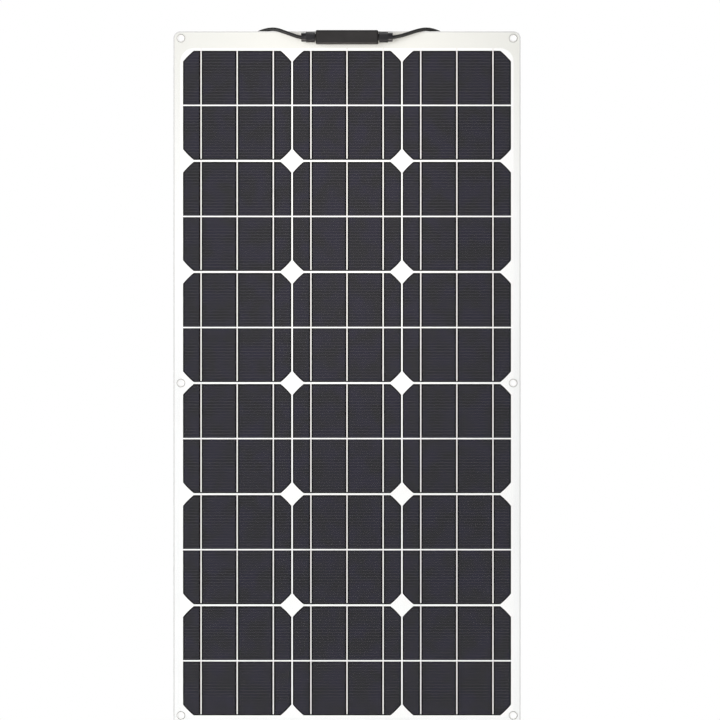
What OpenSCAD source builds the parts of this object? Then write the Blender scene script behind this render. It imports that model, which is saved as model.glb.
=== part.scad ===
// Flexible solar sheet, hung from its two top eyelets.
// X runs across the sheet, +Z is up, and the cell side faces -Y.
// The origin lies midway between the two top eyelets, on the back face of the sheet.
// The sheet bends, so the laminate is cut into strips that turn on each other between half-cells.

/* [Sheet] */
// Width of the sheet
sheet_w = 500; // [480:1:560]
// Height of the sheet
sheet_h = 1000; // [985:1:1040]
// Radius of the sheet's corners
corner_r = 10; // [2:1:14]
// White margin above the top cells
top_margin = 28; // [27:1:40]

/* [Laminate layers] */
// Thickness of the clear front film
film_t = 0.2; // [0.1:0.05:0.3]
// Thickness of the encapsulant on each side of the cells
encapsulant_t = 0.45; // [0.4:0.05:0.8]
// Thickness of a cell
cell_t = 0.2; // [0.15:0.05:0.3]
// Thickness of the backsheet
backsheet_t = 1.2; // [0.8:0.1:2]

/* [Cells] */
// Side of a full cell before it is cut in half
cell_side = 156; // [150:0.5:157]
// Diameter of the round wafer that cuts the corners
wafer_d = 200; // [195:1:215]
// Gap between columns
column_gap = 2.2; // [1.5:0.1:3]
// What the cut takes off each half of a cell
cut_loss = 0.4; // [0.2:0.1:0.6]
// Gap between the halves of one cell
half_gap = 2; // [1.6:0.1:2.2]
// Gap between rows
row_gap = 2.8; // [2.4:0.1:3.2]
// Width of a cell ribbon
ribbon_w = 1.8; // [1:0.1:2.5]
// Width of a bus ribbon
bus_w = 5; // [3:0.5:5]

/* [Eyelets] */
// Radius of the hole through an eyelet
eyelet_hole_r = 4; // [3:0.1:4.2]
// Outer radius of the eyelet's rim
eyelet_rim_r = 6; // [5.6:0.1:6.6]
// Distance from the sheet's side to the eyelets
eyelet_side = 10.75; // [10:0.25:12]
// Distance from the sheet's top to the top eyelets
eyelet_top = 10; // [9:0.5:12]

/* [Junction box] */
// Length of the box
box_l = 90; // [84:1:96]
// Height of the box on the sheet
box_h = 20; // [19:0.5:22]
// Depth of the box off the sheet, lid included
box_depth = 16; // [15:0.5:18]

/* [Leads] */
// Diameter of a lead
lead_d = 5.4; // [5:0.1:5.6]
// Radius of the coil at the middle of its turns
coil_mid_r = 30; // [28:0.5:32]

/* [Hidden] */
$fn = 64;
columns = 3;
rows = 6;
strips = rows + 1;
ribbons_per_cell = 3;

laminate_t = film_t + 2 * encapsulant_t + cell_t + backsheet_t;
film_y = -laminate_t;
front_seal_y = film_y + film_t;
cell_y = front_seal_y + encapsulant_t;
rear_seal_y = cell_y + cell_t;
backsheet_y = -backsheet_t;

sheet_top = eyelet_top;
sheet_bottom = sheet_top - sheet_h;
half_side = cell_side / 2;
half_h = half_side - cut_loss;
row_pitch = 2 * half_h + half_gap + row_gap;
column_pitch = cell_side + column_gap;
block_w = columns * cell_side + (columns - 1) * column_gap;
block_top = sheet_top - top_margin;
block_bottom = block_top - rows * row_pitch + row_gap;
split_gap = 0.4;

ribbon_t = 0.15;
ribbon_end = 1.5;
ribbon_front_y = cell_y - ribbon_t;
ribbon_rear_y = rear_seal_y;
// The return ribbons run behind the cells, so every column can start at its top
return_x = 41;
return_y = rear_seal_y + 0.2;
bus_clear = 1.5;
top_bus_z = block_top + bus_clear + bus_w / 2;
bottom_bus_z = block_bottom - bus_clear - bus_w / 2;
cover_t = 0.1;
cover_spare = 0.7;

eyelet_x = sheet_w / 2 - eyelet_side;
eyelet_wall = 0.5;
eyelet_rise = 0.8;
barrel_r = eyelet_hole_r + eyelet_wall;
middle_eyelet_z = block_top - rows / 2 * row_pitch + row_gap / 2;
bottom_eyelet_z = block_bottom;

// The box stands on its pad, with its top edge 1 mm over the sheet's
pad_t = 0.5;
pad_inset = 1.5;
box_z = sheet_top + 1 - box_h / 2;
box_back_y = film_y - pad_t;
box_front_y = box_back_y - box_depth;
wall = 2;
lid_t = 2.4;
gasket_t = 0.8;
fit_gap = 0.3;
base_front_y = box_front_y + lid_t + gasket_t + fit_gap;
box_corner_r = 2;
lid_bevel = 2;
tab_x = 12;
tab_w = 6;
tab_z = -4;

// The gland: a boss on the box, a seal and a nut with a round nose
gland_y = -10.4;
boss_r = 5;
boss_end = box_l / 2 + 12;
nut_start = box_l / 2 + 1.3;
nut_end = nut_start + 12.9;
nose_end = nut_end + 6.6;
nut_corner_r = 7.6;
nose_r = 6.5;
seal_end = boss_end + 3.2;
lead_in_x = 40;
lead_out_x = 65.5;
lead_r = lead_d / 2;
running_gap = 0.3;

// The coils hang behind the sheet
coil_y = 11;
coil_z = -30;
lead_turn_r = coil_mid_r + lead_r;
tie_w = 4;
tie_t = 1;
// Each route leaves the gland, crosses over the top edge and comes down to its coil
right_route = [[65.5, -10.4, 1], [66.5, -10.4, 1], [74, -10.3, 2.4], [80, -9.9, 3.9], [86, -9.2, 5.8],
               [92, -8.3, 7.8], [98, -7.2, 9.7], [104, -5.8, 11.4], [110, -3.4, 12.7], [116, -0.4, 13],
               [122, 2.8, 12.3], [128, 6, 10.8], [134, 8.9, 8.3], [139, 10.9, 5], [143.5, 12.4, 0.2],
               [146.8, 13.3, -6.2], [148.6, 13.6, -13.5], [149, 13.7, -22], [149, 13.7, -30]];
left_route = [[-65.5, -10.4, 1], [-66.5, -10.4, 1], [-73, -10.2, 2.6], [-79, -9.7, 4.7], [-85, -8.9, 6.8],
              [-91, -7.7, 9], [-97, -6.2, 11.2], [-103, -3.6, 12.7], [-109, -0.6, 13], [-115, 2.6, 12.4],
              [-121, 5.6, 11], [-127, 8.2, 8.7], [-132.5, 10.3, 5.3], [-137, 12, 0.7], [-140.5, 13.1, -5.5],
              [-142.5, 13.6, -13], [-143, 13.7, -22], [-143, 13.7, -30]];
right_tail = [[149, 8.3, -30], [149, 8.7, -38], [149, 9.7, -46], [149, 10.4, -53], [149, 10.5, -60],
              [149, 10.5, -68]];
left_tail = [[-143, 8.3, -30], [-143, 8.7, -38], [-143, 9.7, -46], [-143, 10.4, -53],
             [-143, 10.5, -60], [-143, 10.5, -68]];
right_drop_x = 149;
left_drop_x = -143;
right_coil_x = right_drop_x - lead_turn_r;
left_coil_x = left_drop_x + lead_turn_r;
tube_sides = 10;

// Connectors: measures along their own axis, from the lead's entry
connector_z = -57;
connector_y = 10.5;
cap_l = 15;
flange_l = 4;
barrel_start = 19;
socket_start = 27;
connector_l = 48;
flange_r = 8.2;
barrel_out_r = 7.2;
shroud_in_r = 4.8;
contact_r = 2;
contact_start = 11;

LAYERS = ["front_film_", "encapsulant_", "cells_", "ribbons_", "backsheet_"];

// ---- where things are ----

function column_x(c) = (c - (columns - 1) / 2) * column_pitch;
function row_top(r) = block_top - r * row_pitch;
function lower_half_top(r) = row_top(r) - half_h - half_gap;
function hinge_z(k) = row_top(k) - half_h - half_gap / 2;
function strip_top(i) = i == 0 ? sheet_top : hinge_z(i - 1) - split_gap / 2;
function strip_bottom(i) = i == rows ? sheet_bottom : hinge_z(i) + split_gap / 2;
function ribbon_x(c, k) = column_x(c) + (k - (ribbons_per_cell - 1) / 2) * cell_side / ribbons_per_cell;
function eyelet_z_in(i) =
    i == 0 ? 0 : i == rows / 2 ? middle_eyelet_z : i == rows ? bottom_eyelet_z : undef;

// Extrudes a shape drawn in X and Z backwards from y_front
module layer(y_front, thick) {
    translate([0, y_front + thick, 0])
        rotate([90, 0, 0])
            linear_extrude(thick)
                children();
}

// A block from its corner with the lowest numbers
module block(x, y, z, size) {
    translate([x, y, z])
        cube(size);
}

// A cylinder along +X
module rod_x(r, x_from, x_to) {
    translate([x_from, 0, 0])
        rotate([0, 90, 0])
            cylinder(r = r, h = x_to - x_from);
}

module rounded_rectangle(w, h, r) {
    square([w - 2 * r, h], center = true);
    square([w, h - 2 * r], center = true);
    for (x = [-1, 1], z = [-1, 1])
        translate([x * (w / 2 - r), z * (h / 2 - r)])
            circle(r);
}

// ---- laminate ----

module strip_outline(i) {
    difference() {
        intersection() {
            translate([0, (sheet_top + sheet_bottom) / 2])
                rounded_rectangle(sheet_w, sheet_h, corner_r);
            translate([-sheet_w, strip_bottom(i)])
                square([2 * sheet_w, strip_top(i) - strip_bottom(i)]);
        }
        if (eyelet_z_in(i) != undef)
            for (side = [-1, 1])
                translate([side * eyelet_x, eyelet_z_in(i)])
                    circle(barrel_r);
    }
}

// The slots in the top strip that let the two bus tabs through to the box
module tab_slots(y_from, y_to) {
    for (side = [-1, 1])
        block(side * tab_x - tab_w / 2 - 0.5, y_from, tab_z - 0.6, [tab_w + 1, y_to - y_from, 1.2]);
}

module backsheet(i) {
    color("whitesmoke")
        layer(backsheet_y, backsheet_t)
            strip_outline(i);
}

module front_film(i) {
    color([0.9, 0.95, 1, 0.3])
        difference() {
            layer(film_y, film_t)
                strip_outline(i);
            if (i == 0)
                tab_slots(film_y - 1, front_seal_y + 1);
        }
}

// Half of a cut wafer from its outer edge: side is 1 for the half above the cut and -1 for the half below
module half_cell(c, z_edge, side) {
    layer(cell_y, cell_t)
        translate([column_x(c), z_edge - side * half_side])
            intersection() {
                translate([-half_side, side > 0 ? cut_loss : -half_side])
                    square([cell_side, half_h]);
                circle(wafer_d / 2);
            }
}

module cell_shapes(i) {
    for (c = [0:columns - 1]) {
        if (i > 0)
            half_cell(c, lower_half_top(i - 1) - half_h, -1);
        if (i < rows)
            half_cell(c, row_top(i), 1);
    }
}

module cells(i) {
    color([0.2, 0.2, 0.24])
        cell_shapes(i);
}

// One ribbon from z_low to z_high on the front or the rear of the cells
module ribbon(x, y, z_low, z_high) {
    block(x - ribbon_w / 2, y, z_low, [ribbon_w, ribbon_t, z_high - z_low]);
}

// The ribbon that runs from the front of the cell below a row gap to the rear of the cell above it
module linking_ribbon(x, i) {
    z_gap = row_top(i);
    ribbon(x, ribbon_front_y, z_gap - half_h + 0.5, z_gap + 0.8);
    block(x - ribbon_w / 2, ribbon_front_y, z_gap + 0.8, [ribbon_w, cell_t + 2 * ribbon_t, row_gap - 1.6]);
    ribbon(x, ribbon_rear_y, z_gap + row_gap - 0.8, z_gap + row_gap + half_h - 0.5);
}

module string_ribbons(i) {
    for (c = [0:columns - 1])
        for (k = [0:ribbons_per_cell - 1]) {
            x = ribbon_x(c, k);
            if (i > 0)
                ribbon(x, ribbon_front_y, lower_half_top(i - 1) - half_h + ribbon_end, strip_top(i));
            if (i > 0 && i < rows)
                linking_ribbon(x, i);
            if (i < rows)
                ribbon(x, ribbon_rear_y, strip_bottom(i), row_top(i) - ribbon_end);
            if (i == 0)
                ribbon(x, ribbon_front_y, row_top(0) - half_h + 0.5, top_bus_z + bus_w / 2);
            if (i == rows)
                ribbon(x, ribbon_rear_y, bottom_bus_z - bus_w / 2, lower_half_top(rows - 1) - 0.5);
        }
}

// A flat ribbon behind each column brings the lower end of its string back up
module return_ribbons(i) {
    z_low = i == rows ? bottom_bus_z - bus_w / 2 : strip_bottom(i);
    z_high = i == 0 ? top_bus_z + bus_w / 2 : strip_top(i);
    for (c = [0:columns - 1])
        block(column_x(c) + return_x - bus_w / 2, return_y, z_low, [bus_w, ribbon_t, z_high - z_low]);
}

module top_bus() {
    half_bus = cell_side / ribbons_per_cell + ribbon_w;
    z = top_bus_z - bus_w / 2;
    for (c = [0:columns - 1])
        block(column_x(c) - half_bus, cell_y, z, [2 * half_bus, cell_t, bus_w]);
    // each return ribbon meets the bus of the next column
    for (c = [0:columns - 2])
        block(column_x(c) + return_x - bus_w / 2, rear_seal_y, z,
              [column_pitch - return_x - half_bus + bus_w, return_y - rear_seal_y, bus_w]);
    // the two ends of the string run to the middle and fold forward into the box
    tab_z_low = tab_z - ribbon_t / 2;
    tab_front_y = box_back_y - wall - 0.8;
    lead_z = z + bus_w + 1;
    for (side = [-1, 1]) {
        end_x = side < 0 ? column_x(0) + half_bus - bus_w : column_x(columns - 1) + return_x - bus_w / 2;
        inner_x = side * tab_x - tab_w / 2;
        x_low = min(end_x, inner_x);
        x_high = max(end_x + bus_w, inner_x + tab_w);
        block(end_x, return_y, z, [bus_w, ribbon_t, lead_z - z + 3]);
        if (side < 0)
            block(end_x, rear_seal_y, z, [bus_w, return_y - rear_seal_y, bus_w]);
        block(x_low, return_y, lead_z, [x_high - x_low, ribbon_t, 3]);
        block(inner_x, return_y, lead_z, [tab_w, ribbon_t, tab_z_low - lead_z + ribbon_t]);
        block(inner_x, tab_front_y, tab_z_low, [tab_w, return_y - tab_front_y + 0.1, ribbon_t]);
    }
}

module bottom_bus() {
    half_bus = cell_side / ribbons_per_cell + ribbon_w;
    z = bottom_bus_z - bus_w / 2;
    for (c = [0:columns - 1])
        block(column_x(c) - half_bus, ribbon_rear_y + ribbon_t, z,
              [2 * half_bus, return_y - ribbon_rear_y - ribbon_t, bus_w]);
}

module ribbon_shapes(i) {
    string_ribbons(i);
    return_ribbons(i);
    if (i == 0)
        top_bus();
    if (i == rows)
        bottom_bus();
}

module ribbons(i) {
    color("silver")
        ribbon_shapes(i);
}

// A white strip hides a bus ribbon from the front
module bus_cover(z_middle) {
    h = bus_w + 2 * cover_spare;
    w = block_w - 2 * eyelet_rim_r;
    block(-w / 2, front_seal_y, z_middle - h / 2, [w, cover_t, h]);
}

module top_bus_cover() {
    color("white")
        bus_cover(top_bus_z);
}

module bottom_bus_cover() {
    color("white")
        bus_cover(bottom_bus_z);
}

module encapsulant(i) {
    color([0.95, 0.97, 1, 0.4])
        difference() {
            layer(front_seal_y, backsheet_y - front_seal_y)
                strip_outline(i);
            cell_shapes(i);
            ribbon_shapes(i);
            if (i == 0) {
                bus_cover(top_bus_z);
                tab_slots(front_seal_y - 1, return_y);
            }
            if (i == rows)
                bus_cover(bottom_bus_z);
        }
}

// ---- eyelets ----

// Half of a domed rim, drawn as radius and height over the sheet
module rim_profile(rise) {
    half_w = (eyelet_rim_r - eyelet_hole_r) / 2;
    arc_r = (half_w * half_w + rise * rise) / (2 * rise);
    intersection() {
        translate([eyelet_hole_r + half_w, rise - arc_r])
            circle(arc_r);
        translate([eyelet_hole_r, 0])
            square([2 * half_w, rise]);
    }
}

module eyelet(x, z) {
    translate([x, 0, z])
        rotate([90, 0, 0]) {
            // the barrel passes through the sheet
            difference() {
                cylinder(r = barrel_r, h = laminate_t);
                translate([0, 0, -1])
                    cylinder(r = eyelet_hole_r, h = laminate_t + 2);
            }
            translate([0, 0, laminate_t])
                rotate_extrude()
                    rim_profile(eyelet_rise);
            rotate([180, 0, 0])
                rotate_extrude()
                    rim_profile(eyelet_rise * 0.75);
        }
}

module eyelets(z) {
    color("gainsboro")
        for (side = [-1, 1])
            eyelet(side * eyelet_x, z);
}

// ---- junction box ----

// The box's outline, inset all round
module box_outline(inset) {
    translate([0, box_z])
        rounded_rectangle(box_l - 2 * inset, box_h - 2 * inset, max(box_corner_r - inset, 0.5));
}

module box_pad() {
    color("dimgray")
        difference() {
            layer(box_back_y, pad_t)
                translate([0, -pad_inset / 2])
                    box_outline(pad_inset);
            tab_slots(box_back_y - 1, film_y + 1);
        }
}

module box_base() {
    color([0.22, 0.22, 0.22])
        difference() {
            union() {
                layer(base_front_y, box_back_y - base_front_y)
                    box_outline(0);
                translate([0, gland_y, box_z])
                    rod_x(boss_r, -boss_end, boss_end);
            }
            layer(base_front_y - 1, box_back_y - base_front_y + 1 - wall)
                box_outline(wall);
            translate([0, gland_y, box_z])
                rod_x(lead_r + 0.05, -boss_end - 1, boss_end + 1);
            tab_slots(box_back_y - wall - 1, box_back_y + 1);
        }
}

module box_gasket() {
    color("black")
        layer(base_front_y - gasket_t, gasket_t)
            difference() {
                box_outline(0.4);
                box_outline(wall);
            }
}

// The lid's front edges are bevelled all round
module box_lid() {
    lid_back_y = box_front_y + lid_t;
    half_l = box_l / 2;
    skirt_h = 3;
    color([0.24, 0.23, 0.23]) {
        intersection() {
            layer(box_front_y, lid_t)
                box_outline(0);
            // bevels of the long edges
            translate([-half_l, 0, box_z])
                rotate([90, 0, 90])
                    linear_extrude(box_l)
                        polygon([[lid_back_y, -box_h / 2], [box_front_y + lid_bevel, -box_h / 2],
                                 [box_front_y, -box_h / 2 + lid_bevel], [box_front_y, box_h / 2 - lid_bevel],
                                 [box_front_y + lid_bevel, box_h / 2], [lid_back_y, box_h / 2]]);
            // bevels of the short ends
            translate([0, 0, box_z - box_h / 2])
                linear_extrude(box_h)
                    polygon([[-half_l, lid_back_y], [-half_l, box_front_y + lid_bevel],
                             [lid_bevel - half_l, box_front_y], [half_l - lid_bevel, box_front_y],
                             [half_l, box_front_y + lid_bevel], [half_l, lid_back_y]]);
        }
        layer(lid_back_y, skirt_h)
            difference() {
                box_outline(wall + fit_gap);
                box_outline(wall + fit_gap + 1.2);
            }
    }
}

module terminals() {
    floor_y = box_back_y - wall;
    plate_z = tab_z + ribbon_t / 2;
    color("goldenrod")
        for (side = [-1, 1]) {
            block(side > 0 ? 9 : -38, floor_y - 1, plate_z, [29, 1, 9]);
            block(side > 0 ? 30 : -38, gland_y, plate_z + 2, [8, floor_y - 1 - gland_y, 5]);
            translate([0, gland_y, box_z])
                rod_x(2.2, side > 0 ? 28 : -40, side > 0 ? 40 : -28);
        }
}

module bypass_diode() {
    floor_y = box_back_y - wall;
    color([0.15, 0.15, 0.17])
        translate([0, floor_y - 4, box_z]) {
            rod_x(2.6, -4.5, 4.5);
            rod_x(0.6, -12, 12);
            for (side = [-1, 1])
                translate([side * 12, 0, 0])
                    rotate([-90, 0, 0])
                        cylinder(r = 0.6, h = 3);
        }
}

// The lead's last stretch, from its terminal through the wall, the seal and the nut
module lead_ends() {
    color([0.12, 0.12, 0.12])
        translate([0, gland_y, box_z]) {
            rod_x(lead_r, lead_in_x, lead_out_x);
            rod_x(lead_r, -lead_out_x, -lead_in_x);
        }
}

module gland_seals() {
    color("black")
        translate([0, gland_y, box_z])
            for (side = [0, 1])
                mirror([side, 0, 0])
                    difference() {
                        rod_x(boss_r - 0.1, boss_end, seal_end);
                        rod_x(lead_r, boss_end - 1, seal_end + 1);
                    }
}

module gland_nut(side) {
    color([0.21, 0.21, 0.22])
        translate([0, gland_y, box_z])
            mirror([side < 0 ? 1 : 0, 0, 0])
                difference() {
                    union() {
                        translate([nut_start, 0, 0])
                            rotate([0, 90, 0])
                                cylinder(r = nut_corner_r, h = nut_end - nut_start, $fn = 6);
                        rod_x(nose_r, nut_start + 1, nose_end);
                    }
                    rod_x(boss_r + running_gap, nut_start - 1, seal_end + running_gap);
                    rod_x(lead_r + running_gap, nut_start, nose_end + 1);
                }
}

// ---- leads ----

// The direction of the route at point i
function heading(route, i) =
    let (a = route[max(i - 1, 0)], b = route[min(i + 1, len(route) - 1)]) (b - a) / norm(b - a);

// A ring of points round the route at point i, square to it
function ring(route, i) =
    let (t = heading(route, i),
         u0 = cross(t, [0.3, 1, 0.1]),
         u = u0 / norm(u0),
         v = cross(t, u))
    [for (k = [0:tube_sides - 1])
        route[i] + lead_r * (cos(k * 360 / tube_sides) * u + sin(k * 360 / tube_sides) * v)];

module tube(route) {
    n = len(route);
    points = [for (i = [0:n - 1]) each ring(route, i)];
    sides = [for (i = [0:n - 2]) for (k = [0:tube_sides - 1])
        let (a = i * tube_sides + k, b = i * tube_sides + (k + 1) % tube_sides)
        [a, a + tube_sides, b + tube_sides, b]];
    ends = [[for (k = [0:tube_sides - 1]) k],
            [for (k = [tube_sides - 1:-1:0]) (n - 1) * tube_sides + k]];
    polyhedron(points = points, faces = concat(sides, ends));
}

module lead(route, tail) {
    color([0.1, 0.1, 0.1]) {
        tube(route);
        tube(tail);
    }
}

// The outer shape of a coil of four turns, two by two
module coil(x) {
    color([0.13, 0.13, 0.13])
        translate([x, coil_y, coil_z])
            rotate([90, 0, 0])
                rotate_extrude()
                    translate([coil_mid_r, 0])
                        square(2 * lead_d, center = true);
}

// A tie round a coil's section, at an angle from +X
module coil_tie(x, angle) {
    inside = 2 * lead_d + 0.2;
    translate([x, coil_y, coil_z])
        rotate([0, -angle, 0])
            translate([coil_mid_r, 0, 0])
                difference() {
                    cube([inside + 2 * tie_t, inside + 2 * tie_t, tie_w], center = true);
                    cube([inside, inside, tie_w + 1], center = true);
                }
}

module coil_ties() {
    color("black")
        for (x = [left_coil_x, right_coil_x], angle = [60, 300])
            coil_tie(x, angle);
}

// ---- connectors ----

// Stands a connector's own axis on the lead, pointing down
module at_connector(x) {
    translate([x, connector_y, connector_z])
        rotate([180, 0, 0])
            children();
}

module connector_cap() {
    difference() {
        intersection() {
            rotate_extrude()
                polygon([[0, 0], [6.2, 0], [8.6, 4], [8.6, cap_l], [0, cap_l]]);
            cylinder(r = 9.2, h = cap_l, $fn = 8);
        }
        translate([0, 0, -1])
            cylinder(r = lead_r + running_gap, h = cap_l);
        translate([0, 0, 5])
            cylinder(r = 5.9, h = cap_l);
    }
}

// The rear of both connectors: a boss for the cap and a flange
module connector_rear() {
    translate([0, 0, 5.5])
        cylinder(r = 5.5, h = cap_l);
    translate([0, 0, cap_l + running_gap])
        cylinder(r = flange_r, h = flange_l - running_gap);
}

module connector_bores() {
    cylinder(r = lead_r + 0.05, h = contact_start);
    translate([0, 0, contact_start - 1])
        cylinder(r = contact_r + 0.9, h = connector_l);
}

module plug_body() {
    color([0.13, 0.13, 0.14])
        at_connector(right_drop_x)
            difference() {
                union() {
                    connector_rear();
                    translate([0, 0, barrel_start - 1])
                        cylinder(r = barrel_out_r, h = connector_l - barrel_start + 1);
                }
                connector_bores();
                translate([0, 0, socket_start])
                    cylinder(r = shroud_in_r, h = connector_l);
                // windows that a mating socket's arms click into
                for (side = [-1, 1])
                    translate([side * barrel_out_r, 0, socket_start + 8])
                        cube([4, 5, 6], center = true);
            }
}

module socket_body() {
    color([0.13, 0.13, 0.14])
        at_connector(left_drop_x)
            difference() {
                union() {
                    connector_rear();
                    translate([0, 0, barrel_start - 1])
                        cylinder(r = barrel_out_r, h = socket_start - barrel_start + 1);
                    translate([0, 0, socket_start - 1])
                        cylinder(r = shroud_in_r - 0.3, h = connector_l - socket_start + 1);
                    // two spring arms with hooked ends
                    for (side = [-1, 1]) {
                        translate([side * (barrel_out_r + 0.6), 0, socket_start + 4])
                            cube([1.4, 4.6, 16], center = true);
                        translate([side * barrel_out_r, 0, socket_start + 10.6])
                            cube([2.2, 4.6, 2.8], center = true);
                    }
                }
                connector_bores();
            }
}

module connector_nut(x) {
    color([0.15, 0.15, 0.16])
        at_connector(x)
            connector_cap();
}

// A pin in the plug and a tube in the socket
module connector_contacts() {
    color("silver") {
        at_connector(right_drop_x) {
            translate([0, 0, contact_start])
                cylinder(r = contact_r + 0.9, h = socket_start - contact_start);
            translate([0, 0, socket_start])
                cylinder(r = contact_r, h = 16);
        }
        at_connector(left_drop_x)
            difference() {
                translate([0, 0, contact_start])
                    cylinder(r = contact_r + 0.9, h = connector_l - contact_start - 1);
                translate([0, 0, socket_start])
                    cylinder(r = contact_r + 0.05, h = connector_l);
            }
    }
}

// ---- the sheet ----

for (i = [0:rows]) {
    front_film(i);
    encapsulant(i);
    cells(i);
    ribbons(i);
    backsheet(i);
}
top_bus_cover();
bottom_bus_cover();
eyelets(0);  // top_eyelets
eyelets(middle_eyelet_z);  // middle_eyelets
eyelets(bottom_eyelet_z);  // bottom_eyelets
box_pad();
box_base();
box_gasket();
box_lid();
terminals();
bypass_diode();
lead_ends();
gland_seals();
gland_nut(-1);  // left_gland_nut
gland_nut(1);  // right_gland_nut
lead(left_route, left_tail);  // left_lead
lead(right_route, right_tail);  // right_lead
coil(left_coil_x);  // left_coil
coil(right_coil_x);  // right_coil
coil_ties();
plug_body();
connector_nut(right_drop_x);  // plug_nut
socket_body();
connector_nut(left_drop_x);  // socket_nut
connector_contacts();
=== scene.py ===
import math

import bmesh
import bpy
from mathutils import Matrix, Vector


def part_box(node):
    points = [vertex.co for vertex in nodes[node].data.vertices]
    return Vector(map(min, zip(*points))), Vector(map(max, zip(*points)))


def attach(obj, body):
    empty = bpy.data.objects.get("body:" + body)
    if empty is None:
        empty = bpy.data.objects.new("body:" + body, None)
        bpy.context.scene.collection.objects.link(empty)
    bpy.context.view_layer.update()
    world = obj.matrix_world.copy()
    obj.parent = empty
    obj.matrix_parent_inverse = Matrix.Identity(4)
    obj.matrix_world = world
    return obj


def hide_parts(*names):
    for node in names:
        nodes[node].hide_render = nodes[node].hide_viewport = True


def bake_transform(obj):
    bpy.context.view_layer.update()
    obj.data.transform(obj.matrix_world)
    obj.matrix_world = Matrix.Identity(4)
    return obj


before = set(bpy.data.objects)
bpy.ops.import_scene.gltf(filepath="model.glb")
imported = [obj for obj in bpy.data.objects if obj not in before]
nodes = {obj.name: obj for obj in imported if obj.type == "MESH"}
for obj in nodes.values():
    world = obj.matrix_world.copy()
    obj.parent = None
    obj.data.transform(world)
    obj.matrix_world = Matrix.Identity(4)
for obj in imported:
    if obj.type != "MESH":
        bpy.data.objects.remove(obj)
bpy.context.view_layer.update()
MM = 0.001

# ---- the sheet's layout, as part.scad has it, in metres ----

COLUMNS, ROWS = 3, 6
RIBBONS = 3
CELL = 156 * MM
CUT_LOSS = 0.4 * MM
HALF_H = CELL / 2 - CUT_LOSS
WAFER_R = 100 * MM
COLUMN_GAP, HALF_GAP, ROW_GAP = 2.2 * MM, 2 * MM, 2.8 * MM
COLUMN_PITCH, ROW_PITCH = CELL + COLUMN_GAP, 2 * HALF_H + HALF_GAP + ROW_GAP
RIBBON_W = 1.8 * MM
RIBBON_END = 1.5 * MM
SHORT_OF_CELL = 0.1 * MM
EYELET_BARREL_R, EYELET_RIM_R = 4.5 * MM, 6 * MM
CORNER_R = 10 * MM

film_low, film_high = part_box("front_film_1")
sheet_left, sheet_right = film_low.x, film_high.x
sheet_top, sheet_bottom = film_high.z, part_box("backsheet_7")[0].z
front_y, back_y = film_low.y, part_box("backsheet_1")[1].y
block_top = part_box("cells_1")[1].z
block_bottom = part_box("cells_7")[0].z
eyelets_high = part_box("top_eyelets")[1]
EYELET_X = eyelets_high.x - EYELET_RIM_R


def middle_z(node):
    low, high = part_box(node)
    return (low.z + high.z) / 2


# ---- small helpers ----


def link(obj):
    """Puts an object into the scene."""
    bpy.context.scene.collection.objects.link(obj)
    return obj


def mesh_object(name, bm, material):
    """An object of one material from a bmesh, which it frees."""
    mesh = bpy.data.meshes.new(name)
    bmesh.ops.recalc_face_normals(bm, faces=bm.faces)
    bm.to_mesh(mesh)
    bm.free()
    mesh.materials.append(material)
    return link(bpy.data.objects.new(name, mesh))


def smooth(obj, angle=35):
    """Shades an object smoothly, but for the edges sharper than an angle in degrees."""
    for face in obj.data.polygons:
        face.use_smooth = True
    obj.data.set_sharp_from_angle(angle=math.radians(angle))


def arc(cx, cz, r, start, end, steps):
    """Points of an arc, in degrees, both ends included."""
    turns = [math.radians(start + (end - start) * i / steps) for i in range(steps + 1)]
    return [(cx + r * math.cos(a), cz + r * math.sin(a)) for a in turns]


# ---- camera: level, square to the sheet, from far away ----

# How wide the view is at the sheet, and how far its middle lies from the sheet's top middle, in metres
VIEW_WIDTH = 1.037
CAMERA_RIGHT, CAMERA_DOWN = 18.7 * MM, 473.4 * MM
# Focal length and sensor width, in millimetres
LENS, SENSOR = 300, 36
FARTHEST = 100
camera_data = bpy.data.cameras.new("camera")
camera_data.lens = LENS
camera_data.sensor_width = SENSOR
camera_data.clip_end = FARTHEST
camera = link(bpy.data.objects.new("camera", camera_data))
camera.location = (
    (sheet_left + sheet_right) / 2 + CAMERA_RIGHT,
    front_y - VIEW_WIDTH * LENS / SENSOR,
    sheet_top - CAMERA_DOWN,
)
camera.rotation_euler = (math.radians(90), 0, 0)
bpy.context.scene.camera = camera

# ---- materials ----

# Most of a noise's values lie in this range
NOISE_RANGE = (0.3, 0.7)


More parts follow.
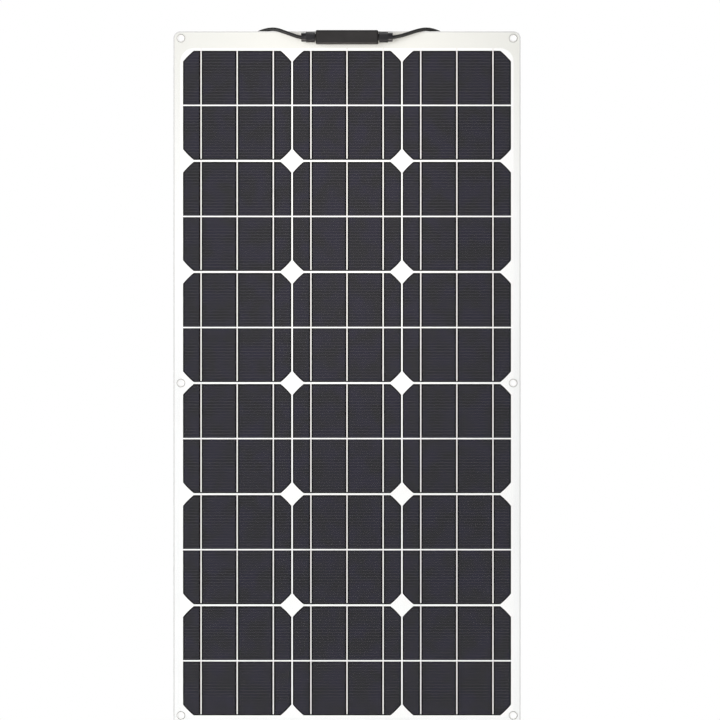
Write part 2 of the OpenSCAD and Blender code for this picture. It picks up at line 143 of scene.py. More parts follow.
class Nodes:
    """A material's node tree, with one Principled shader.

    A setting such as coat_weight=0.5 sets the shader's socket of that name.
    """

    def __init__(self, name, color, roughness, metallic=0.0, **settings):
        self.material = bpy.data.materials.new(name)
        self.material.use_nodes = True
        self.tree = self.material.node_tree
        self.shader = self.tree.nodes["Principled BSDF"]
        self.set("Base Color", (*color, 1))
        self.set("Roughness", roughness)
        self.set("Metallic", metallic)
        for socket, value in settings.items():
            self.set(socket.replace("_", " ").title().replace("Ior", "IOR"), value)

    def set(self, socket, value):
        self.shader.inputs[socket].default_value = value

    def link(self, a, b):
        self.tree.links.new(a, b)

    def add(self, kind, **settings):
        node = self.tree.nodes.new(kind)
        for key, value in settings.items():
            setattr(node, key, value)
        return node

    def math(self, operation, a, b=None, c=None):
        node = self.add("ShaderNodeMath", operation=operation)
        for socket, value in zip(node.inputs, (a, b, c)):
            if value is None:
                continue
            if hasattr(value, "links"):
                self.link(value, socket)
            else:
                socket.default_value = value
        return node.outputs[0]

    def noise(self, scale, detail, roughness=0.5, vector=None):
        node = self.add("ShaderNodeTexNoise")
        node.inputs["Scale"].default_value = scale
        node.inputs["Detail"].default_value = detail
        node.inputs["Roughness"].default_value = roughness
        self.link(vector or self.position(), node.inputs["Vector"])
        return node.outputs["Fac"]

    def position(self):
        return self.add("ShaderNodeTexCoord").outputs["Object"]

    def flat_place(self, uv_map):
        """Across and up, in metres, as one of the UV maps holds them."""
        split = self.add("ShaderNodeSeparateXYZ")
        self.link(self.add("ShaderNodeUVMap", uv_map=uv_map).outputs["UV"], split.inputs[0])
        return split.outputs["X"], split.outputs["Y"]

    def distance(self, x, z):
        return self.math("SQRT", self.math("ADD", self.math("MULTIPLY", x, x), self.math("MULTIPLY", z, z)))

    def remap(self, value, low, high, to_low, to_high):
        """Goes from to_low to to_high as the value goes from low to high, and no further."""
        node = self.add("ShaderNodeMapRange", clamp=True)
        self.link(value, node.inputs["Value"])
        node.inputs["From Min"].default_value = low
        node.inputs["From Max"].default_value = high
        node.inputs["To Min"].default_value = to_low
        node.inputs["To Max"].default_value = to_high
        return node.outputs["Result"]

    def mix(self, amount, a, b):
        """Mixes two colours, which are the node's sockets 6 and 7."""
        node = self.add("ShaderNodeMix", data_type="RGBA")
        for socket, value in ((node.inputs[0], amount), (node.inputs[6], a), (node.inputs[7], b)):
            if hasattr(value, "links"):
                self.link(value, socket)
            elif isinstance(value, tuple):
                socket.default_value = (*value, 1)
            else:
                socket.default_value = value
        return node.outputs[2]

    def graded(self, value, low, high, a, b):
        """Colour a where the value is low, turning to colour b where it is high."""
        return self.mix(self.remap(value, low, high, 0, 1), a, b)

    def color(self, value):
        self.link(value, self.shader.inputs["Base Color"])

    def roughness(self, noise, low, high):
        """Roughness that wanders between two values with a noise."""
        self.link(self.remap(noise, *NOISE_RANGE, low, high), self.shader.inputs["Roughness"])

    def bump(self, height, distance, strength):
        node = self.add("ShaderNodeBump")
        node.inputs["Strength"].default_value = strength
        node.inputs["Distance"].default_value = distance
        self.link(height, node.inputs["Height"])
        self.link(node.outputs["Normal"], self.shader.inputs["Normal"])


def scaled(color, factor):
    return tuple(factor * c for c in color)


# Gloss of the black plastics and the sheath
DULL_GLOSS = 0.3


def moulded_plastic(name, color, roughness):
    """Injection-moulded plastic: a fine spark-eroded grain and faint flow marks."""
    m = Nodes(name, color, roughness, specular_ior_level=DULL_GLOSS)
    flow = m.noise(scale=40, detail=4)
    dark, light = scaled(color, 0.82), scaled(color, 1.2)
    m.color(m.graded(flow, *NOISE_RANGE, dark, light))
    m.roughness(m.noise(scale=120, detail=3), roughness - 0.06, roughness + 0.08)
    grain = m.noise(scale=900, detail=2, roughness=0.6)
    m.bump(grain, distance=0.03 * MM, strength=0.6)
    return m.material


SHEATH_CLEAN, SHEATH_DUSTY = (0.014, 0.014, 0.014), (0.026, 0.0255, 0.024)


def sheath_material():
    """Extruded cable sheath: satin, with a very fine grain and dusty patches."""
    m = Nodes("cable_sheath", SHEATH_CLEAN, 0.42, specular_ior_level=DULL_GLOSS)
    m.color(m.graded(m.noise(scale=90, detail=4), 0.35, 0.75, SHEATH_CLEAN, SHEATH_DUSTY))
    m.roughness(m.noise(scale=300, detail=3), 0.36, 0.52)
    grain = m.noise(scale=1400, detail=2)
    m.bump(grain, distance=0.02 * MM, strength=0.5)
    return m.material


def wear(m, smoothest, roughest):
    """A metal's uneven polish, with a very fine grain."""
    m.roughness(m.noise(scale=260, detail=4, roughness=0.7), smoothest, roughest)
    m.bump(m.noise(scale=900, detail=3), distance=0.01 * MM, strength=0.4)


# The nickel's colour, and the painted shade round the foot of the rim, which starts and is full at these
# distances from the axis
EYELET_BRIGHT, EYELET_FOOT_SHADE = (0.88, 0.87, 0.85), (0.20, 0.197, 0.187)
FOOT_SHADE_START, FOOT_SHADE_FULL = EYELET_RIM_R - 0.9 * MM, EYELET_RIM_R - 0.5 * MM


def eyelet_material():
    """Nickel-plated eyelet: bright, with a painted shade round the foot of its rim."""
    m = Nodes("eyelet_nickel", EYELET_BRIGHT, 0.4, metallic=0.25)
    from_axis = m.distance(*m.flat_place("in_eyelet"))
    # painted shade: a dark ring round the foot of the rim
    m.color(m.graded(from_axis, FOOT_SHADE_START, FOOT_SHADE_FULL, EYELET_BRIGHT, EYELET_FOOT_SHADE))
    wear(m, 0.3, 0.5)
    return m.material


def metal(name, color, roughness):
    """Plated or turned metal with an uneven polish and a little tarnish."""
    m = Nodes(name, color, roughness, metallic=1)
    tarnish = m.noise(scale=110, detail=5)
    m.color(m.graded(tarnish, 0.35, 0.7, color, scaled(color, 0.8)))
    wear(m, roughness - 0.08, roughness + 0.12)
    return m.material


def rubber(name, color):
    """Matt rubber or foam: cloudy, with a fine open grain."""
    m = Nodes(name, color, 0.75)
    m.color(m.mix(m.noise(scale=60, detail=4), color, scaled(color, 1.6)))
    m.bump(m.noise(scale=700, detail=3), distance=0.03 * MM, strength=0.6)
    return m.material


def distance_inside(m, x, z, right, bottom, top, corner):
    """How far a point lies inside an upright rectangle with round corners, centred on x = 0."""
    from_middle = m.math("ABSOLUTE", m.math("SUBTRACT", z, (top + bottom) / 2))
    past_x = m.math("SUBTRACT", m.math("ABSOLUTE", x), right - corner)
    past_z = m.math("SUBTRACT", from_middle, (top - bottom) / 2 - corner)
    out_x, out_z = m.math("MAXIMUM", past_x, 0), m.math("MAXIMUM", past_z, 0)
    past_corner = m.distance(out_x, out_z)
    past_flat = m.math("MINIMUM", m.math("MAXIMUM", past_x, past_z), 0)
    return m.math("SUBTRACT", m.math("SUBTRACT", corner, past_corner), past_flat)


def from_ribbon(m, x):
    """How far across a point lies from the nearest ribbon of its column."""
    share = m.math("FRACT", m.math("ADD", m.math("DIVIDE", x, CELL / RIBBONS), RIBBONS / 2))
    return m.math("MULTIPLY", m.math("ABSOLUTE", m.math("SUBTRACT", share, 0.5)), CELL / RIBBONS)


MARGIN_A, MARGIN_B = (0.915, 0.920, 0.915), (0.940, 0.945, 0.942)
# Painted shade: the margins turn duller and warmer towards the top
MARGIN_TOP_SHADE = (0.815, 0.815, 0.775)
BEHIND_CELLS = (0.965, 0.967, 0.958)
CUT_EDGE = (0.66, 0.66, 0.655)
# The brighter block reaches past the cells, with soft round corners
BLOCK_SPARE, BLOCK_CORNER, BLOCK_BLUR = 4 * MM, 16 * MM, 0.6 * MM
CUT_EDGE_FULL, CUT_EDGE_GONE = 0.9 * MM, 2.4 * MM
# How far down the painted shade at the top fades out
TOP_SHADE_FADE = 1.5 * ROW_PITCH
# A ridge over a ribbon is full up to the first and gone at the second, from the ribbon's middle
RIDGE_FULL, RIDGE_GONE = 0.4 * RIBBON_W, 1.2 * RIBBON_W


def laminate_white():
    """White laminate, seen through the clear layers.

    In front it is bright behind the cells, with a painted shade that dulls it towards the top. All round,
    its cut edge is grey.
    """
    m = Nodes("laminate_white", MARGIN_A, 0.42, coat_weight=0.5, coat_roughness=0.25)
    x, z = m.flat_place("in_sheet")
    block_right = COLUMNS * COLUMN_PITCH / 2 - COLUMN_GAP / 2
    in_block = distance_inside(m, x, z, block_right, block_bottom, block_top, BLOCK_CORNER)
    margin = m.graded(m.noise(scale=9, detail=4), 0.35, 0.65, MARGIN_A, MARGIN_B)
    # painted shade towards the top
    margin = m.graded(z, block_top - TOP_SHADE_FADE, block_top, margin, MARGIN_TOP_SHADE)
    facing = m.add("ShaderNodeSeparateXYZ")
    m.link(m.add("ShaderNodeNewGeometry").outputs["Normal"], facing.inputs[0])
    at_front = m.math("LESS_THAN", facing.outputs["Y"], -0.5)
    bright = m.math("MULTIPLY", m.remap(in_block, -BLOCK_SPARE, BLOCK_BLUR - BLOCK_SPARE, 0, 1), at_front)
    white = m.mix(bright, m.mix(at_front, MARGIN_A, margin), BEHIND_CELLS)
    in_sheet = distance_inside(m, x, z, sheet_right, sheet_bottom, sheet_top, CORNER_R)
    m.color(m.mix(m.remap(in_sheet, CUT_EDGE_FULL, CUT_EDGE_GONE, 1, 0), white, CUT_EDGE))
    m.roughness(m.noise(scale=60, detail=3), 0.36, 0.5)
    # a fine pressed grain, and low ridges where the ribbons lie
    in_column = m.math("WRAP", x, COLUMN_PITCH / 2, -COLUMN_PITCH / 2)
    ridge = m.remap(from_ribbon(m, in_column), RIDGE_FULL, RIDGE_GONE, 1, 0)
    ridge = m.math("MULTIPLY", ridge, m.remap(in_block, 0, 1 * MM, 0, 1))
    grain = m.math("MULTIPLY", m.noise(scale=650, detail=2, roughness=0.6), 0.25)
    m.bump(m.math("ADD", ridge, grain), distance=0.08 * MM, strength=0.5)
    return m.material


CELL_DARK, CELL_BLUE = (0.0200, 0.0195, 0.0228), (0.0225, 0.0208, 0.0345)
FINGER_PITCH = 2.09 * MM
FINGER_COLOR = (0.17, 0.168, 0.18)
WEAK_FINGER, STRONG_FINGER = 0.09, 0.36
# Half the width of a finger, as a share of the pitch: solid up to the first, gone at the second
FINGER_SOLID, FINGER_GONE = 0.06, 0.11
# The unprinted rim of a cell, and the dark stripe on each side of a ribbon, partly flux stain and partly
# painted shade
RIM_SOLID, RIM_GONE = 1.4 * MM, 2.4 * MM
STAIN_AND_SHADE_SOLID, STAIN_AND_SHADE_GONE = RIBBON_W / 2 + 1.7 * MM, RIBBON_W / 2 + 2.6 * MM
SHADED = 0.05


def cell_material():
    """Dark mono silicon: fine printed fingers, a darker unprinted rim, ribbon sides darkened by flux stain
    and painted shade, a faint blue cast.
    """
    m = Nodes("mono_cell", CELL_DARK, 0.34, coat_weight=0.16, coat_roughness=0.16, specular_ior_level=0.1)
    x, z = m.flat_place("in_cell")
    # fingers: thin light lines across, every other one stronger
    line = m.math("DIVIDE", z, FINGER_PITCH)
    off_line = m.math("ABSOLUTE", m.math("SUBTRACT", m.math("FRACT", line), 0.5))
    strong = m.math("GREATER_THAN", m.math("FRACT", m.math("MULTIPLY", line, 0.5)), 0.5)
    weight = m.remap(strong, 0, 1, WEAK_FINGER, STRONG_FINGER)
    finger = m.math("MULTIPLY", m.remap(off_line, FINGER_SOLID, FINGER_GONE, 1, 0), weight)
    # darker: the rim outside the print, and both sides of each ribbon, with flux stain and painted shade
    from_side = m.math("SUBTRACT", CELL / 2, m.math("ABSOLUTE", x))
    from_end = m.math("SUBTRACT", HALF_H + HALF_GAP / 2, m.math("ABSOLUTE", z))
    from_round = m.math("SUBTRACT", WAFER_R + HALF_GAP / 2 - CUT_LOSS, m.distance(x, z))
    from_edge = m.math("MINIMUM", m.math("MINIMUM", from_side, from_end), from_round)
    off_rim = m.remap(from_edge, RIM_SOLID, RIM_GONE, 0, 1)
    off_stain_and_shade = m.remap(from_ribbon(m, x), STAIN_AND_SHADE_SOLID, STAIN_AND_SHADE_GONE, 0, 1)
    silicon = m.graded(m.noise(scale=34, detail=5), 0.4, 0.62, CELL_DARK, CELL_BLUE)
    speckle = m.noise(scale=420, detail=2, roughness=0.6)
    mottled = m.mix(m.remap(speckle, 0.35, 0.65, 0.35, 0), silicon, CELL_DARK)
    lined = m.mix(finger, mottled, FINGER_COLOR)
    m.color(m.mix(m.math("MULTIPLY", off_rim, off_stain_and_shade), scaled(CELL_DARK, SHADED), lined))
    m.roughness(m.noise(scale=500, detail=2), 0.28, 0.42)
    m.bump(m.noise(scale=1500, detail=2), distance=0.01 * MM, strength=0.3)
    return m.material


RIBBON_DULL, RIBBON_BRIGHT = (0.815, 0.797, 0.787), (0.875, 0.857, 0.847)


def ribbon_material():
    """Tinned copper ribbon: bright, with a soft lengthwise drag and solder ripples."""
    m = Nodes("tinned_ribbon", RIBBON_BRIGHT, 0.42, metallic=0.06)
    stretch = m.add("ShaderNodeMapping")
    stretch.inputs["Scale"].default_value = (1, 1, 0.06)
    m.link(m.position(), stretch.inputs["Vector"])
    drag = m.noise(scale=1800, detail=3, vector=stretch.outputs[0])
    m.color(m.graded(drag, *NOISE_RANGE, RIBBON_DULL, RIBBON_BRIGHT))
    m.roughness(drag, 0.34, 0.5)
    m.bump(m.noise(scale=220, detail=3), distance=0.03 * MM, strength=0.5)
    return m.material


def film_material():
    """Clear front film: almost invisible, with a faint haze and a soft gloss."""
    m = Nodes("clear_film", (0.05, 0.05, 0.05), 0.2, alpha=0.03)
    m.bump(m.noise(scale=420, detail=2, roughness=0.6), distance=0.015 * MM, strength=0.4)
    return m.material


WHITE = laminate_white()
CELLS = cell_material()
RIBBON = ribbon_material()
FILM = film_material()
SHEATH = sheath_material()
BOX = moulded_plastic("box_plastic", (0.0165, 0.0150, 0.0150), 0.45)
GLAND = moulded_plastic("gland_plastic", (0.0125, 0.0120, 0.0145), 0.38)
CONNECTOR = moulded_plastic("connector_plastic", (0.022, 0.022, 0.024), 0.45)
TIE = moulded_plastic("tie_nylon", (0.014, 0.014, 0.014), 0.35)
EYELET = eyelet_material()
TIN = metal("tinned_contact", (0.82, 0.81, 0.79), 0.28)
BRASS = metal("terminal_brass", (0.74, 0.55, 0.25), 0.32)
SEAL = rubber("seal_rubber", (0.012, 0.012, 0.012))
PAD = rubber("adhesive_pad", (0.03, 0.03, 0.03))
DIODE = moulded_plastic("diode_epoxy", (0.02, 0.02, 0.022), 0.35)

# ---- leads, in millimetres: the routes repeat part.scad's, then come the coil and the tail ----

LEAD_D = 5.4
COIL_MID_R = 30
COIL_Y, COIL_Z = 11, -30
TURN_POINTS = 28
# The curve's steps between two points, and in its round section
LEAD_STEPS = 5
# Each turn's radius and depth: outside rear, inside rear, inside front, outside front, and off outwards
TURNS = [
    (COIL_MID_R + LEAD_D / 2, COIL_Y + LEAD_D / 2),
    (COIL_MID_R - LEAD_D / 2, COIL_Y + LEAD_D / 2),
    (COIL_MID_R - LEAD_D / 2, COIL_Y - LEAD_D / 2),
    (COIL_MID_R + LEAD_D / 2, COIL_Y - LEAD_D / 2),
    (COIL_MID_R + LEAD_D * 1.5, COIL_Y - LEAD_D / 2),
]
# The share of a turn in which the lead passes over to the next turn
CHANGE_OVER = 1 / 5
RIGHT_ROUTE = [
    (65.5, -10.4, 1), (66.5, -10.4, 1), (74, -10.3, 2.4), (80, -9.9, 3.9), (86, -9.2, 5.8),
    (92, -8.3, 7.8), (98, -7.2, 9.7), (104, -5.8, 11.4), (110, -3.4, 12.7), (116, -0.4, 13),
    (122, 2.8, 12.3), (128, 6, 10.8), (134, 8.9, 8.3), (139, 10.9, 5), (143.5, 12.4, 0.2),
    (146.8, 13.3, -6.2), (148.6, 13.6, -13.5), (149, 13.7, -22),
]
LEFT_ROUTE = [
    (-65.5, -10.4, 1), (-66.5, -10.4, 1), (-73, -10.2, 2.6), (-79, -9.7, 4.7), (-85, -8.9, 6.8),
    (-91, -7.7, 9), (-97, -6.2, 11.2), (-103, -3.6, 12.7), (-109, -0.6, 13), (-115, 2.6, 12.4),
    (-121, 5.6, 11), (-127, 8.2, 8.7), (-132.5, 10.3, 5.3), (-137, 12, 0.7), (-140.5, 13.1, -5.5),
    (-142.5, 13.6, -13), (-143, 13.7, -22),
]
# The tail comes straight down, so its points need only depth and height
TAIL = [(8.7, -38), (9.7, -46), (10.4, -53), (10.5, -60), (10.5, -68)]


def ease(t):
    """A smooth step from 0 to 1."""
    t = min(max(t, 0), 1)
    return t * t * (3 - 2 * t)


def coil_points(coil_x, side):
    """The coil's four turns, from the lead's side of the coil and downwards."""
    points = []
    for turn in range(len(TURNS) - 1):
        (r0, y0), (r1, y1) = TURNS[turn], TURNS[turn + 1]
        for i in range(TURN_POINTS):
            share = i / TURN_POINTS
            change = ease((share - 1 + CHANGE_OVER) / CHANGE_OVER)
            r, y = r0 + (r1 - r0) * change, y0 + (y1 - y0) * change
            angle = 2 * math.pi * share
            points.append((coil_x + side * r * math.cos(angle), y, COIL_Z - r * math.sin(angle)))
    return points


def make_lead(name, route, side, replaced):
    """A lead as one curve: its route over the edge, its coil and its tail.

    Side is 1 for the right lead and -1 for the left.
    """
    coil_x = route[-1][0] - side * TURNS[0][0]
    tail_x = coil_x + side * TURNS[-1][0]
    tail = [(tail_x, TURNS[-1][1], COIL_Z)] + [(tail_x, y, z) for y, z in TAIL]
    points = [Vector(p) * MM for p in route + coil_points(coil_x, side) + tail]
    data = bpy.data.curves.new(name, "CURVE")
    data.dimensions = "3D"
    data.bevel_depth = LEAD_D / 2 * MM
    data.bevel_resolution = LEAD_STEPS
    data.resolution_u = LEAD_STEPS
    data.use_fill_caps = True
    spline = data.splines.new("BEZIER")
    spline.bezier_points.add(len(points) - 1)
    for handle, point in zip(spline.bezier_points, points):
        handle.co = point
        handle.handle_left_type = handle.handle_right_type = "AUTO"
    data.materials.append(SHEATH)
    lead = link(bpy.data.objects.new(name, data))
    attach(lead, "strip_1")
    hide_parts(*replaced)


WELD = 0.002 * MM
BEVEL_STEPS = 3
# Faces within the first angle of each other are one flat, and edges over the second are rounded, in degrees
FLAT_ANGLE, EDGE_ANGLE = 1.5, 40


def finished(node, body, material, bevel=0.35 * MM):
    """A copy of a CAD piece with its flats joined up and its edges rounded, which stands for it."""
    bm = bmesh.new()
    bm.from_mesh(nodes[node].data)
    bmesh.ops.remove_doubles(bm, verts=bm.verts, dist=WELD)
    bmesh.ops.dissolve_limit(bm, angle_limit=math.radians(FLAT_ANGLE), verts=bm.verts, edges=bm.edges)
    piece = mesh_object(node + "_shape", bm, material)
    rounded = piece.modifiers.new("rounded", "BEVEL")
    rounded.width = bevel
    rounded.segments = BEVEL_STEPS
    rounded.limit_method = "ANGLE"
    rounded.angle_limit = math.radians(EDGE_ANGLE)
    rounded.use_clamp_overlap = True
    smooth(piece, EDGE_ANGLE)
    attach(piece, body)
    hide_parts(node)
    return piece


plug = [
    finished("plug_body", "strip_1", CONNECTOR),
    finished("plug_nut", "plug_cap", CONNECTOR),
]
socket = [
    finished("socket_body", "strip_1", CONNECTOR),
    finished("socket_nut", "socket_cap", CONNECTOR),
]
make_lead("right_lead_cord", RIGHT_ROUTE, 1, ["right_lead", "right_coil"])
make_lead("left_lead_cord", LEFT_ROUTE, -1, ["left_lead", "left_coil"])

# ---- laminate: six strips, one to a row of cells, each cut across so that it can bend over the hinge at its middle ----

BEND_STEPS = 16
CORNER_STEPS = 16
EYELET_STEPS = 32
WAFER_STEPS = 6
RIBBON_END_STEPS = 8
# Depths from the front backwards; what lies on the white laps a little into it
FILM_BACK = front_y + 0.08 * MM
RIBBON_FRONT = front_y + 0.11 * MM
COVER_FRONT = front_y + 0.13 * MM
CELL_FRONT = front_y + 0.15 * MM
WHITE_FRONT = front_y + 0.18 * MM
LAP = 0.01 * MM


def row_top(row):
    return block_top - row * ROW_PITCH


def seam_above(row):
    return row_top(row) + ROW_GAP / 2


def hinge_z(row):
    return row_top(row) - HALF_H - HALF_GAP / 2


def column_x(column):
    return (column - (COLUMNS - 1) / 2) * COLUMN_PITCH


def strip_ends(row):
    top = sheet_top if row == 0 else seam_above(row)
    bottom = sheet_bottom if row == ROWS - 1 else seam_above(row + 1)
    return bottom, top


END_EYELETS = {0: "top_eyelets", ROWS - 1: "bottom_eyelets"}


def strip_outline(row):
    """The outer loop and the holes of one row's strip, in X and Z.

    The middle eyelets lie on a seam, so the strips above and below it have half of their holes each.
    """
    bottom, top = strip_ends(row)
    middle_eyelets = middle_z("middle_eyelets")
    loop = []
    if row == ROWS - 1:
        loop += arc(sheet_left + CORNER_R, bottom + CORNER_R, CORNER_R, 180, 270, CORNER_STEPS)
        loop += arc(sheet_right - CORNER_R, bottom + CORNER_R, CORNER_R, 270, 360, CORNER_STEPS)
    else:
        loop.append((sheet_left, bottom))
        if row == ROWS // 2 - 1:
            for x in (-EYELET_X, EYELET_X):
                loop += arc(x, middle_eyelets, EYELET_BARREL_R, 180, 0, EYELET_STEPS // 2)
        loop.append((sheet_right, bottom))
    if row == 0:
        loop += arc(sheet_right - CORNER_R, top - CORNER_R, CORNER_R, 0, 90, CORNER_STEPS)
        loop += arc(sheet_left + CORNER_R, top - CORNER_R, CORNER_R, 90, 180, CORNER_STEPS)
    else:
        loop.append((sheet_right, top))
        if row == ROWS // 2:
            for x in (EYELET_X, -EYELET_X):
                loop += arc(x, middle_eyelets, EYELET_BARREL_R, 0, -180, EYELET_STEPS // 2)
        loop.append((sheet_left, top))
    holes = []
    if row in END_EYELETS:
        z = middle_z(END_EYELETS[row])
        holes = [arc(x, z, EYELET_BARREL_R, 0, 360, EYELET_STEPS)[:-1] for x in (-EYELET_X, EYELET_X)]
    return [loop, *holes]


def add_plate(bm, loops, y_near, y_far):
    """A flat plate of that outline and holes between two depths."""
    edges = []
    for loop in loops:
        verts = [bm.verts.new((x, y_near, z)) for x, z in loop]
        edges += [bm.edges.new((a, b)) for a, b in zip(verts, verts[1:] + verts[:1])]
    filled = bmesh.ops.triangle_fill(bm, edges=edges, use_beauty=True)["geom"]
    faces = [part for part in filled if isinstance(part, bmesh.types.BMFace)]
    far = bmesh.ops.extrude_face_region(bm, geom=faces)["geom"]
    far_verts = [part for part in far if isinstance(part, bmesh.types.BMVert)]
    bmesh.ops.translate(bm, verts=far_verts, vec=(0, y_far - y_near, 0))


def cut_across(bm, row):
    """Cuts a strip's mesh at even heights, so that it can bend."""
    low, high = seam_above(row + 1), seam_above(row)
    for i in range(1, BEND_STEPS):
        z = low + (high - low) * i / BEND_STEPS
        geometry = bm.verts[:] + bm.edges[:] + bm.faces[:]
        bmesh.ops.bisect_plane(bm, geom=geometry, plane_co=(0, 0, z), plane_no=(0, 0, 1))


def half_cell_outline(column, row, upper):
    """Half of a cut round wafer: its two outer corners follow the wafer's edge."""
    cx, half = column_x(column), CELL / 2
    middle = row_top(row) - half if upper else row_top(row) - 2 * HALF_H - HALF_GAP + half
    corner = math.degrees(math.acos(half / WAFER_R))
    outer = arc(0, 0, WAFER_R, corner, 90 - corner, WAFER_STEPS)
    outline = [(-half, CUT_LOSS), (half, CUT_LOSS)] + outer + [(-x, z) for x, z in reversed(outer)]
    return [(cx + x, middle + (z if upper else -z)) for x, z in outline]


def draw_white(bm, row):
    add_plate(bm, strip_outline(row), WHITE_FRONT, back_y)


def draw_film(bm, row):
    add_plate(bm, strip_outline(row), front_y, FILM_BACK)


def draw_cells(bm, row):
    for column in range(COLUMNS):
        for upper in (True, False):
            add_plate(bm, [half_cell_outline(column, row, upper)], CELL_FRONT, WHITE_FRONT + LAP)


def map_flat(piece, name, place):
    """Writes each point's flat place, in metres, to a UV map."""
    layer = piece.data.uv_layers.new(name=name)
    for face in piece.data.polygons:
        for loop in face.loop_indices:
            point = piece.data.vertices[piece.data.loops[loop].vertex_index].co
            layer.data[loop].uv = place(point, face.center)


def in_sheet(point, face_center):
    """Where a point lies on the flat sheet."""
    return point.x, point.z


def in_cell(point, face_center):
    """Where a point lies in its own full cell."""
    column = min(range(COLUMNS), key=lambda c: abs(face_center.x - column_x(c)))
    row = min(range(ROWS), key=lambda r: abs(face_center.z - hinge_z(r)))
    return point.x - column_x(column), point.z - hinge_z(row)


def ribbon_outline(x, low, high):
    """A long ribbon whose lower end is rounded."""
    r = RIBBON_W / 2
    return arc(x, low + r, r, 180, 360, RIBBON_END_STEPS) + [(x + r, high), (x - r, high)]


def draw_ribbons(bm, row):
    """Each ribbon runs down a cell, from the top bus or from just short of the cell above."""
    low = row_top(row) - 2 * HALF_H - HALF_GAP + RIBBON_END
    high = middle_z("top_bus_cover") if row == 0 else row_top(row) + ROW_GAP - SHORT_OF_CELL
    for column in range(COLUMNS):
        for k in range(RIBBONS):
            x = column_x(column) + (k - (RIBBONS - 1) / 2) * CELL / RIBBONS
            add_plate(bm, [ribbon_outline(x, low, high)], RIBBON_FRONT, WHITE_FRONT + LAP)


def add_bending(name, row, draw, material, replaced, uv_map=None, place=None, rounded=False):
    """Draws a flat piece in one row of the sheet, cut across so that it can bend, which stands for CAD
    nodes.
    """
    bm = bmesh.new()
    draw(bm, row)
    cut_across(bm, row)
    piece = mesh_object(name, bm, material)
    if uv_map:
        map_flat(piece, uv_map, place)
    if rounded:
        smooth(piece)
    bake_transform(piece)
    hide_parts(*replaced)


for row in range(ROWS):
    n = row + 1
    # the last row also stands for the last strip
    strips = [n, ROWS + 1] if row == ROWS - 1 else [n]
    white_layers = [f"{layer}_{i}" for i in strips for layer in ("backsheet", "encapsulant")]
    cells = [f"cells_{i}" for i in strips]
    ribbons = [f"ribbons_{i}" for i in strips]
    films = [f"front_film_{i}" for i in strips]
    add_bending(
        f"backsheet_row_{n}", row, draw_white, WHITE, white_layers, "in_sheet", in_sheet,
        rounded=True,
    )
    add_bending(f"cells_row_{n}", row, draw_cells, CELLS, cells, "in_cell", in_cell)
    add_bending(f"ribbons_row_{n}", row, draw_ribbons, RIBBON, ribbons)
    add_bending(f"front_film_row_{n}", row, draw_film, FILM, films, rounded=True)


COVERS = {0: "top_bus_cover", ROWS - 1: "bottom_bus_cover"}


def draw_cover(bm, row):
    """The white strip over a bus ribbon lies just under the film."""
    low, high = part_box(COVERS[row])
    outline = [(low.x, low.z), (high.x, low.z), (high.x, high.z), (low.x, high.z)]
    add_plate(bm, [outline], COVER_FRONT, WHITE_FRONT + LAP)


for row, node in COVERS.items():
    add_bending(f"{node}_strip", row, draw_cover, WHITE, [node], "in_sheet", in_sheet)

# ---- junction box, glands and ties ----

finished("box_lid", "lid", BOX, bevel=0.4 * MM)
finished("box_base", "strip_1", BOX, bevel=0.4 * MM)
finished("left_gland_nut", "left_nut", GLAND, bevel=0.5 * MM)
finished("right_gland_nut", "right_nut", GLAND, bevel=0.5 * MM)
finished("coil_ties", "strip_1", TIE, bevel=0.25 * MM)


def finished_eyelets(node, body):
    """A pair of eyelets, with each point's place in its own eyelet written to a UV map."""
    piece = finished(node, body, EYELET, bevel=0.1 * MM)
    z = middle_z(node)
    map_flat(piece, "in_eyelet", lambda point, face: (abs(point.x) - EYELET_X, point.z - z))


finished_eyelets("top_eyelets", "strip_1")
finished_eyelets("middle_eyelets", "strip_4")
finished_eyelets("bottom_eyelets", "strip_7")

# CAD pieces whose shape stays, with a finish of their own
for node, material in {
    "box_pad": PAD, "box_gasket": SEAL, "gland_seals": SEAL, "lead_ends": SHEATH,
    "terminals": BRASS, "bypass_diode": DIODE, "connector_contacts": TIN,
}.items():
    slots = nodes[node].data.materials
    slots.clear()
    slots.append(material)

# ---- room: a pale floor, white surroundings, soft light ----

FLOOR_DROP, FLOOR_R, FLOOR_STEPS = 0.11, 1.2, 96
FADE_START = 0.55 * FLOOR_R


def floor_material():
    """A pale matt floor that fades out towards its rim."""
    m = Nodes("pale_floor", (0.86, 0.86, 0.85), 0.7)
    length = m.add("ShaderNodeVectorMath", operation="LENGTH")
    m.link(m.position(), length.inputs[0])
    m.link(m.remap(length.outputs["Value"], FADE_START, FLOOR_R, 1, 0), m.shader.inputs["Alpha"])
    return m.material


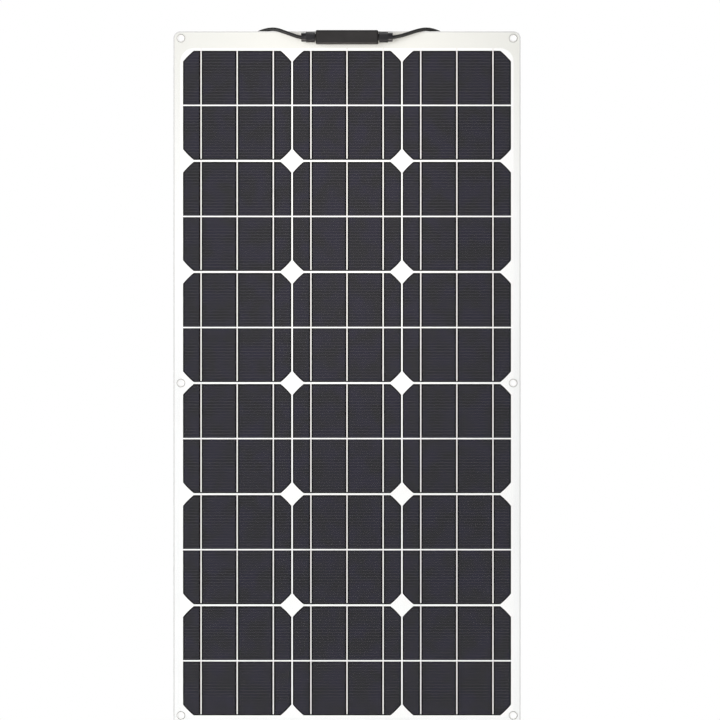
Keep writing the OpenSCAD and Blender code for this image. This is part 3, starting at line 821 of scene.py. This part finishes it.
bm = bmesh.new()
bmesh.ops.create_circle(bm, cap_ends=True, segments=FLOOR_STEPS, radius=FLOOR_R)
floor = mesh_object("floor", bm, floor_material())
floor.location = (0, 0, sheet_bottom - FLOOR_DROP)

WHITE_LIGHT = (1, 1, 1, 1)
SEEN_STRENGTH, SHED_STRENGTH = 1.0, 0.35


def studio():
    """Surroundings that the camera sees as white, and that shed a weaker, even light."""
    world = bpy.data.worlds.new("studio")
    world.use_nodes = True
    tree = world.node_tree
    seen = tree.nodes["Background"]
    shed = tree.nodes.new("ShaderNodeBackground")
    for background, strength in ((seen, SEEN_STRENGTH), (shed, SHED_STRENGTH)):
        background.inputs["Color"].default_value = WHITE_LIGHT
        background.inputs["Strength"].default_value = strength
    path = tree.nodes.new("ShaderNodeLightPath")
    choose = tree.nodes.new("ShaderNodeMixShader")
    tree.links.new(path.outputs["Is Camera Ray"], choose.inputs[0])
    tree.links.new(shed.outputs[0], choose.inputs[1])
    tree.links.new(seen.outputs[0], choose.inputs[2])
    tree.links.new(choose.outputs[0], tree.nodes["World Output"].inputs[0])
    return world


bpy.context.scene.world = studio()


def softbox(name, place, target, size, power, color=(1, 1, 1), spread=180):
    """A square lamp that faces its target: size in metres, power in watts, spread in degrees."""
    data = bpy.data.lights.new(name, "AREA")
    data.shape = "SQUARE"
    data.size = size
    data.energy = power
    data.color = color
    data.spread = math.radians(spread)
    light = link(bpy.data.objects.new(name, data))
    light.location = place
    light.visible_camera = False
    light.rotation_euler = (Vector(target) - Vector(place)).to_track_quat("-Z", "Y").to_euler()


WARM = (1, 0.92, 0.84)
middle = Vector((0, 0, (sheet_top + sheet_bottom) / 2))
softbox("key", place=middle + Vector((-2.3, -2.8, 0.4)), target=middle, size=2.6, power=118)
softbox("fill", place=middle + Vector((2.3, -2.8, 0)), target=middle, size=2.6, power=32)
# a narrow warm beam from below lights the lid's lower bevel
softbox(
    "low", place=(0, -0.42, sheet_bottom - 0.05), target=(0, front_y, 0), size=0.3, power=0.35,
    color=WARM, spread=30,
)
softbox("back", place=middle + Vector((0.6, 2.6, 1.6)), target=middle, size=2.2, power=62)

bpy.context.scene.view_settings.view_transform = "Standard"
